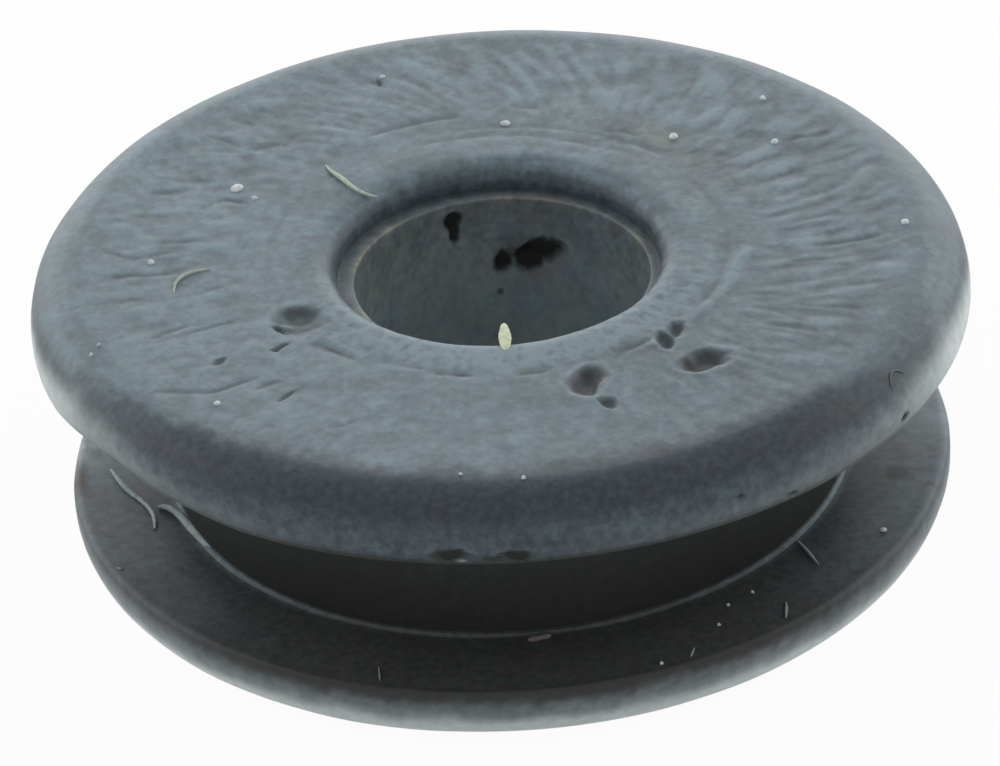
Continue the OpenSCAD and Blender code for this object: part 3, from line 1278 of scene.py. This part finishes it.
def times(tree, value, other):
    return sum_up(tree, "MULTIPLY", value, other)


def plus(tree, value, other):
    return sum_up(tree, "ADD", value, other)


def mixed(tree, share, colour, other):
    """Mixes two colours, each a tuple or another node's colour."""
    node = tree.nodes.new("ShaderNodeMix")
    node.data_type = "RGBA"
    tree.links.new(share, node.inputs["Factor"])
    for name, value in (("A", colour), ("B", other)):
        socket = next(s for s in node.inputs if s.name == name and s.type == "RGBA")
        if isinstance(value, tuple):
            socket.default_value = (*value, 1)
        else:
            tree.links.new(value, socket)
    return next(s for s in node.outputs if s.type == "RGBA")


def bumped(tree, height, strength, distance):
    """A bump of the given strength, whose full height is distance millimetres."""
    node = tree.nodes.new("ShaderNodeBump")
    node.inputs["Strength"].default_value = strength
    node.inputs["Distance"].default_value = distance * MM
    tree.links.new(height, node.inputs["Height"])
    return node.outputs["Normal"]


# Colours: the bare rubber, the soil in the groove, the bloom, which also paints light, the straw film,
# the painted glow, and the painted shade and dark spots
RUBBER = (0.027, 0.036, 0.0465)
RUBBER_WARM = (0.03, 0.0345, 0.039)
SOIL = (0.052, 0.055, 0.047)
SOIL_MOSS = (0.036, 0.066, 0.042)
SOIL_RUST = (0.09, 0.053, 0.046)
BLOOM = (0.19, 0.26, 0.296)
BLOOM_WORN = (0.163, 0.213, 0.235)
BLOOM_LILAC = (0.194, 0.222, 0.277)
BLOOM_MOSS = (0.166, 0.229, 0.2)
STRAW_FILM = (0.36, 0.35, 0.24)
RUST_FILM = (0.21, 0.17, 0.15)
CHALK = (0.67, 0.735, 0.72)
PIT_FLOOR = (0.017, 0.0175, 0.016)
# How rough the rubber is where it is bare and under a full bloom, and how much rougher where it is dull
BARE_ROUGHNESS = 0.42
BLOOM_ROUGHNESS = 0.55
DULL_ROUGHNESS = 0.2


def rubber_skin_group():
    """Black rubber's colour and roughness under its bloom and painted light, straw film, painted glow,
    soil, painted shade and dark spots.
    """
    values = [name.capitalize() for name in MASKS]
    results = [("Colour", "NodeSocketColor"), ("Roughness", "NodeSocketFloat")]
    tree, given, gives = new_group("rubber_skin", values, results)

    # How much of the rubber the bloom and the light painted in its colour hide, worn off in fine patches
    worn = remap(tree, noise_node(tree, 0.3, 3, 0.6), 0.35, 0.65, -1, 1)
    wear = times(tree, worn, remap(tree, given["Bloom"], 0.35, 0.95, 0.6, 0.16))
    share = times(tree, given["Bloom"], remap(tree, given["Tone"], 0, 1, 0.36, 1.06))
    share = times(tree, share, plus(tree, wear, 1))
    share = times(tree, share, remap(tree, noise_node(tree, 0.13, 2, 0.5, 1), 0.35, 0.65, 0.88, 1.12))
    share = plus(tree, share, remap(tree, noise_node(tree, 0.17, 3, 0.6, 6), 0.38, 0.68, -0.02, 0.15))

    # The bloom's own colour, also that of the light painted with it
    thin = remap(tree, noise_node(tree, 1.4, 4, 0.6, 2), 0.38, 0.62)
    thin = plus(tree, thin, remap(tree, given["Tone"], 0.3, 0.9, 0.2, -0.4))
    film = mixed(tree, thin, BLOOM, BLOOM_WORN)
    lilac = remap(tree, noise_node(tree, 0.45, 3, 0.65, 3), 0.5, 0.68, 0, 0.5)
    moss = remap(tree, noise_node(tree, 0.45, 3, 0.65, 4), 0.52, 0.7, 0, 0.45)
    film = mixed(tree, moss, mixed(tree, lilac, film, BLOOM_LILAC), BLOOM_MOSS)

    # The rubber under it, with its soil
    warm = remap(tree, noise_node(tree, 0.25, 3, 0.65, 5), 0.42, 0.68, 0, 0.6)
    base = mixed(tree, warm, RUBBER, RUBBER_WARM)
    rust = remap(tree, noise_node(tree, 0.22, 3, 0.6, 8), 0.5, 0.66, 0, 0.7)
    soil = mixed(tree, rust, mixed(tree, moss, SOIL, SOIL_MOSS), SOIL_RUST)
    base = mixed(tree, times(tree, given["Soil"], 0.8), base, soil)

    # One over another: the rubber, the bloom with its painted light, the painted glow, the straw film,
    # and the painted shade with the dark spots
    colour = mixed(tree, share, base, film)
    chalk = times(tree, given["Chalk"], remap(tree, worn, -1, 1, 0.8, 1))
    colour = mixed(tree, chalk, colour, CHALK)
    edge = mixed(tree, remap(tree, noise_node(tree, 1.2, 2, 0.5, 7), 0.42, 0.58), RUST_FILM, STRAW_FILM)
    colour = mixed(tree, times(tree, given["Straw"], 0.75), colour, edge)
    colour = mixed(tree, given["Dark"], colour, PIT_FLOOR)
    tree.links.new(colour, gives["Colour"])
    tree.links.new(remap(tree, share, 0, 1, BARE_ROUGHNESS, BLOOM_ROUGHNESS), gives["Roughness"])
    return tree


def rubber_grain_group():
    """The fine moulded grain of the rubber."""
    tree, _, gives = new_group("rubber_grain", [], [("Height", "NodeSocketFloat")])
    tree.links.new(noise_node(tree, 0.14, 2, 0.55), gives["Height"])
    return tree


def skin_material(name, specular, grain_strength, grain_depth, rougher=0):
    """Black rubber with all that lies on it, and with its grain in millimetres."""
    material, tree, shader = new_material(name)
    skin = use_group(tree, rubber_skin, [attribute(tree, mask) for mask in MASKS])
    tree.links.new(skin["Colour"], shader.inputs["Base Color"])
    roughness = plus(tree, skin["Roughness"], rougher) if rougher else skin["Roughness"]
    tree.links.new(roughness, shader.inputs["Roughness"])
    shader.inputs["Specular IOR Level"].default_value = specular
    grain = use_group(tree, rubber_grain)["Height"]
    tree.links.new(bumped(tree, grain, grain_strength, grain_depth), shader.inputs["Normal"])
    return material


def rubber_material():
    """Black rubber with a pale, worn bloom on its faces and over its rims, and light and shade painted on
    it.
    """
    return skin_material("black_rubber", 0.3, 0.2, 0.01)


def dull_rubber_material():
    """The same rubber where it is dull: the neck's wall, the upper rim's underside, the pits' floors."""
    return skin_material("dull_rubber", 0.17, 0.7, 0.014, DULL_ROUGHNESS)


def speck_material(name, colour, other):
    """A dry, uneven material for dust and fibres."""
    material, tree, shader = new_material(name)
    patches = remap(tree, noise_node(tree, 0.12, 2, 0.6), 0.35, 0.65)
    tree.links.new(mixed(tree, patches, colour, other), shader.inputs["Base Color"])
    shader.inputs["Roughness"].default_value = 0.8
    shader.inputs["Specular IOR Level"].default_value = 0.3
    grain = use_group(tree, rubber_grain)["Height"]
    tree.links.new(bumped(tree, grain, 0.6, 0.012), shader.inputs["Normal"])
    return material


# ---------------------------------------------------------------- stage, light and camera
# The camera looks down on the front, and is turned a little about its own line of sight
ELEVATION = 31.9
ROLL = 4.0
CAMERA_DISTANCE = 300
# The upper rim's radius as a share of the view's width, and where the axis, at the foot of the upper
# rim's round, stands from the view's middle, in radii
RADIUS_IN_VIEW = 0.4698
AIM_RIGHT = 0.0008
AIM_UP = 0.1811
# How far under the part the floor lies, so that the two don't share a plane, its colour, and how
# much of plain white it shows
FLOOR_GAP = 0.01
FLOOR_COLOUR = (0.9, 0.9, 0.9, 1)
FLOOR_WHITE = 0.95
# The light from all round: its tint and its strength
SKY_TINT = (0.95, 0.98, 1, 1)
SKY_STRENGTH = 0.55
WHITE = (1, 1, 1, 1)
# Softboxes: azimuth, elevation, distance and size in metres, power
SOFTBOXES = {
    "left_softbox": (-110, 25, 0.4, 0.3, 0.36),
    "right_softbox": (110, 25, 0.4, 0.3, 0.36),
    "rear_left_softbox": (-148, 8, 0.4, 0.3, 0.55),
    "rear_right_softbox": (148, 8, 0.4, 0.3, 0.55),
    "rear_softbox": (180, 12, 0.4, 0.2, 0.25),
}


def seen_share(tree, share):
    """The given share for rays from the camera and from gloss, and 0 for other rays."""
    path = tree.nodes.new("ShaderNodeLightPath")
    either = tree.nodes.new("ShaderNodeMath")
    either.operation = "MAXIMUM"
    tree.links.new(path.outputs["Is Camera Ray"], either.inputs[0])
    tree.links.new(path.outputs["Is Glossy Ray"], either.inputs[1])
    return times(tree, either.outputs[0], share)


def floor_material():
    """A matt pale floor that the camera sees as nearly white, with the part's shadow on it."""
    material = bpy.data.materials.new("pale_floor")
    material.use_nodes = True
    tree = material.node_tree
    tree.nodes.clear()
    out = tree.nodes.new("ShaderNodeOutputMaterial")
    matt = tree.nodes.new("ShaderNodeBsdfDiffuse")
    matt.inputs["Color"].default_value = FLOOR_COLOUR
    white = tree.nodes.new("ShaderNodeEmission")
    white.inputs["Color"].default_value = WHITE
    white.inputs["Strength"].default_value = 1
    mix = tree.nodes.new("ShaderNodeMixShader")
    tree.links.new(seen_share(tree, FLOOR_WHITE), mix.inputs[0])
    tree.links.new(matt.outputs[0], mix.inputs[1])
    tree.links.new(white.outputs[0], mix.inputs[2])
    tree.links.new(mix.outputs[0], out.inputs["Surface"])
    return material


def floor():
    """The floor that the part lies on."""
    deselect_objects()
    bpy.ops.mesh.primitive_plane_add(size=3, location=(0, 0, LOW.z - FLOOR_GAP * MM))
    bpy.ops.object.transform_apply(location=True, rotation=True, scale=True)
    obj = bpy.context.object
    obj.name = "floor"
    obj.data.materials.append(floor_material())


def world():
    """A white surround, seen as plain white, that lights the part at a soft level."""
    surround = bpy.data.worlds.new("white_surround")
    bpy.context.scene.world = surround
    surround.use_nodes = True
    tree = surround.node_tree
    tree.nodes.clear()
    out = tree.nodes.new("ShaderNodeOutputWorld")
    light = tree.nodes.new("ShaderNodeBackground")
    light.inputs["Color"].default_value = SKY_TINT
    light.inputs["Strength"].default_value = SKY_STRENGTH
    seen = tree.nodes.new("ShaderNodeBackground")
    seen.inputs["Color"].default_value = WHITE
    seen.inputs["Strength"].default_value = 1
    mix = tree.nodes.new("ShaderNodeMixShader")
    tree.links.new(seen_share(tree, 1), mix.inputs[0])
    tree.links.new(light.outputs[0], mix.inputs[1])
    tree.links.new(seen.outputs[0], mix.inputs[2])
    tree.links.new(mix.outputs[0], out.inputs["Surface"])


def softbox(name, azimuth, elevation, distance, size, power):
    """A square softbox that faces the part. Azimuth 0 is in front of the part and 90 on its right."""
    lamp = bpy.data.lights.new(name, "AREA")
    lamp.shape = "SQUARE"
    lamp.size = size
    lamp.energy = power
    obj = bpy.data.objects.new(name, lamp)
    bpy.context.scene.collection.objects.link(obj)
    turn = math.radians(azimuth)
    rise = math.radians(elevation)
    place = Vector((math.sin(turn) * math.cos(rise), -math.cos(turn) * math.cos(rise), math.sin(rise)))
    obj.location = place * distance
    obj.rotation_euler = place.to_track_quat("Z", "Y").to_euler()


def camera():
    """The camera, aimed so that the part fills the view."""
    lens = bpy.data.cameras.new("camera")
    obj = bpy.data.objects.new("camera", lens)
    bpy.context.scene.collection.objects.link(obj)
    rise = math.radians(ELEVATION)
    roll = math.radians(ROLL)
    away = Vector((0, -math.cos(rise), math.sin(rise)))
    level_right = Vector((1, 0, 0))
    level_up = away.cross(level_right)
    right = level_right * math.cos(roll) - level_up * math.sin(roll)
    up = level_right * math.sin(roll) + level_up * math.cos(roll)
    target = Vector((0, 0, HEIGHT - FACE_ROUND)) * MM
    place = target + away * CAMERA_DISTANCE * MM
    aim = target - (right * AIM_RIGHT + up * AIM_UP) * UPPER_RIM_R * MM
    back = (place - aim).normalized()
    right = (right - back * right.dot(back)).normalized()
    up = back.cross(right)
    turn = Matrix((right, up, back)).transposed().to_4x4()
    obj.matrix_world = Matrix.Translation(place) @ turn
    lens.sensor_width = 36
    lens.lens = RADIUS_IN_VIEW * CAMERA_DISTANCE / UPPER_RIM_R * lens.sensor_width
    lens.clip_start = 0.01
    bpy.context.scene.camera = obj


# ---------------------------------------------------------------- assembly
rubber_skin = rubber_skin_group()
rubber_grain = rubber_grain_group()

moulding = grommet_moulding()
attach(moulding, "root")
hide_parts("grommet")

# Dry dust and fibres: each material's two colours
SPECK_COLOURS = {
    "white_dust": ((0.75, 0.77, 0.78), (0.55, 0.58, 0.6)),
    "straw_flake": ((0.78, 0.82, 0.56), (0.6, 0.64, 0.46)),
    "pink_crumb": ((0.24, 0.19, 0.185), (0.16, 0.13, 0.13)),
    "grey_fibre": ((0.56, 0.63, 0.54), (0.42, 0.48, 0.41)),
    "film_fibre": ((0.32, 0.36, 0.31), (0.24, 0.28, 0.25)),
    "pale_fibre": ((0.47, 0.5, 0.42), (0.36, 0.39, 0.34)),
    "faint_fibre": ((0.2, 0.22, 0.23), (0.13, 0.15, 0.16)),
    "pale_flash": ((0.44, 0.5, 0.48), (0.26, 0.31, 0.3)),
}
speck_materials = {name: speck_material(name, *colours) for name, colours in SPECK_COLOURS.items()}
extras = [
    (dust_specks(), "white_dust"),
    (bore_flake(), "straw_flake"),
    (mouth_fibre(), "grey_fibre"),
    (face_fibre(), "pale_fibre"),
    (rim_squiggle(), "faint_fibre"),
    (flange_fibres(), "film_fibre"),
    (flash_strand(), "pale_flash"),
    (flash_tip(), "pale_flash"),
    (flash_branch(), "pale_flash"),
    (bead_crumb(), "pink_crumb"),
]
for piece, material in extras:
    piece.data.materials.clear()
    piece.data.materials.append(speck_materials[material])
    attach(piece, "root")

floor()
world()
for name, placed in SOFTBOXES.items():
    softbox(name, *placed)
camera()
bpy.context.scene.view_settings.view_transform = "Standard"
